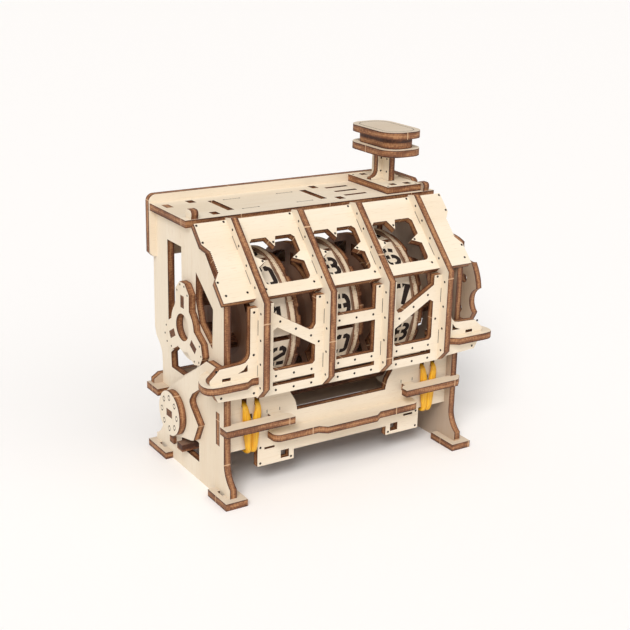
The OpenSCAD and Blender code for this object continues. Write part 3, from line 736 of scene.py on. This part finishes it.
def smooth(points, steps=8):
    """A curve through the points, each leg cut into steps."""
    line = []
    padded = [points[0]] + points + [points[-1]]
    for a, b, c, d in zip(padded, padded[1:], padded[2:], padded[3:]):
        for i in range(steps):
            t = i / steps
            square = (2 * a - 5 * b + 4 * c - d) * t * t
            cube = (3 * b - a - 3 * c + d) * t ** 3
            line.append(0.5 * (2 * b + (c - a) * t + square + cube))
    return line + [points[-1]]


def strand_mesh(builder, spine, half_w, half_t, side):
    """A rippled strap along a spine: half widths and half thicknesses go with its points."""
    rings = []
    for i, point in enumerate(spine):
        run = (spine[min(i + 1, len(spine) - 1)] - spine[max(i - 1, 0)]).normalized()
        out = run.cross(side).normalized()
        ring = []
        for k in range(STRAND_SIDES):
            turn = 2 * math.pi * k / STRAND_SIDES
            ripple = 1 + RIPPLE_DEPTH * math.cos(BAND_RIPPLES * turn)
            offset = side * math.cos(turn) * half_w[i] + out * math.sin(turn) * half_t[i] * ripple
            ring.append(builder.verts.new(point + offset))
        rings.append(ring)
    for a, b in zip(rings, rings[1:]):
        for k in range(STRAND_SIDES):
            j = (k + 1) % STRAND_SIDES
            builder.faces.new((a[k], a[j], b[j], b[k]))
    builder.faces.new(rings[0][::-1])
    builder.faces.new(rings[-1])


def rubber_bands():
    """Both loops: from the arm's tip, out through the slots and under the board's lower edge."""
    builder = bmesh.new()
    for mirror in (-1, 1):
        for side in (-1, 1):
            near = BAND_X + side * BAND_SPREAD
            keys = [
                (near, HOOK_Y, HOOK_Z, 1.0, 0.9), (near, 12.0, HOOK_Z, 1.0, 0.9),
                (near, 9.6, HOOK_Z, 1.0, 0.9),
                (near, 7.6, 36.9, 1.0, 0.8), (near - side * 0.1, 6.9, 34.8, 1.4, 0.9),
                (near - side * 0.5, 6.9, 31.4, 1.8, 1.0), (near - side * 0.95, 6.95, 27.0, 1.8, 1.0),
                (near - side * 1.3, 7.0, 22.0, 1.55, 1.0), (near - side * 1.5, 7.1, 18.6, 1.3, 0.9),
                (near - side * 1.6, 8.2, 17.1, 1.2, 0.8), (near - side * 1.7, 11.8, 17.1, 1.2, 0.8),
            ]
            spine = smooth([case(mirror * x, y, z) for x, y, z, _, _ in keys])
            size = smooth([Vector((w, t, 0)) for _, _, _, w, t in keys])
            strand_mesh(builder, spine, [s.x * MM for s in size], [s.y * MM for s in size], AXIS["X"])
        hook = smooth([case(mirror * (BAND_X + x), HOOK_Y, HOOK_Z) for x in (-3.6, -1.2, 1.2, 3.6)])
        half = [HOOK_HALF] * len(hook)
        strand_mesh(builder, hook, half, half, AXIS["Z"])
    piece = new_piece("amber_bands", builder, None, [rubber("amber_rubber")])
    for face in piece.data.polygons:
        face.use_smooth = True
    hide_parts("rubber_bands")
    # the slot holds the band, and the arm's tip carries its inner end up
    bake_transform(piece)
    return piece


# ---- Stage ----

FLOOR_HALF = 12.0
FLOOR_COLOUR = (0.985, 0.972, 0.968, 1)
SKY_COLOUR = (1.0, 0.985, 0.975, 1)
SKY_STRENGTH = 0.36
SUN_COLOUR = (1.0, 0.985, 0.96)
# Each sun's turn in degrees, its strength and its width in degrees
SUNS = (
    ("key_light", (50, 0, -44), 2.05, 26),
    ("top_light", (20, 0, 0), 0.70, 90),
    ("front_fill", (66, 0, 20), 0.30, 60),
)
# The camera's place in case millimetres
CAMERA_PLACE = (-253.61, -363.95, 218.44)


def stage():
    """Pale floor, soft daylight and the camera."""
    floor_mesh = bpy.data.meshes.new("floor")
    corners = [(x * FLOOR_HALF, y * FLOOR_HALF, 0) for x, y in ((-1, -1), (1, -1), (1, 1), (-1, 1))]
    floor_mesh.from_pydata(corners, [], [(0, 1, 2, 3)])
    floor = bpy.data.objects.new("floor", floor_mesh)
    bpy.context.scene.collection.objects.link(floor)
    shader = Shader("floor_paper")
    shader.bsdf.inputs["Base Color"].default_value = FLOOR_COLOUR
    shader.bsdf.inputs["Roughness"].default_value = 0.9
    shader.bsdf.inputs["Specular IOR Level"].default_value = 0.1
    floor_mesh.materials.append(shader.material)

    world = bpy.data.worlds.new("studio")
    world.use_nodes = True
    sky = world.node_tree.nodes["Background"]
    sky.inputs["Color"].default_value = SKY_COLOUR
    sky.inputs["Strength"].default_value = SKY_STRENGTH
    bpy.context.scene.world = world

    for name, turn, strength, softness in SUNS:
        light = bpy.data.lights.new(name, "SUN")
        light.energy = strength
        light.angle = math.radians(softness)
        light.color = SUN_COLOUR
        lamp = bpy.data.objects.new(name, light)
        lamp.rotation_euler = Euler([math.radians(angle) for angle in turn])
        bpy.context.scene.collection.objects.link(lamp)

    camera = bpy.data.cameras.new("camera")
    camera.lens = 68.19
    camera.sensor_width = 36
    camera.shift_x = -0.00286
    camera.shift_y = -0.00413
    camera.clip_start = 0.01
    eye = bpy.data.objects.new("camera", camera)
    eye.location = case(*CAMERA_PLACE)
    eye.rotation_euler = camera_turn(azimuth=32.85, down=18.564, roll=1.49)
    bpy.context.scene.collection.objects.link(eye)
    bpy.context.scene.camera = eye
    bpy.context.scene.view_settings.view_transform = "Standard"


def camera_turn(azimuth, down, roll):
    """Turn of a camera that looks azimuth degrees right of +Y and down, with a roll."""
    azimuth, down, roll = (math.radians(angle) for angle in (azimuth, down, roll))
    forward = Vector((
        math.sin(azimuth) * math.cos(down),
        math.cos(azimuth) * math.cos(down),
        -math.sin(down),
    ))
    level = Vector((math.cos(azimuth), -math.sin(azimuth), 0))
    upright = level.cross(forward)
    right = level * math.cos(roll) + upright * math.sin(roll)
    up = right.cross(forward)
    turn = Euler((0, 0, 0)).to_matrix()
    turn.col[0], turn.col[1], turn.col[2] = right, up, -forward
    return turn.to_euler()


stage()
dress_frame()
front_dots()
slope_dots()
rib_marks()
top_marks()
board_marks()
star_marks()
disc_marks()
key_marks()
for drum in (1, 2, 3):
    digits(drum)
rubber_bands()
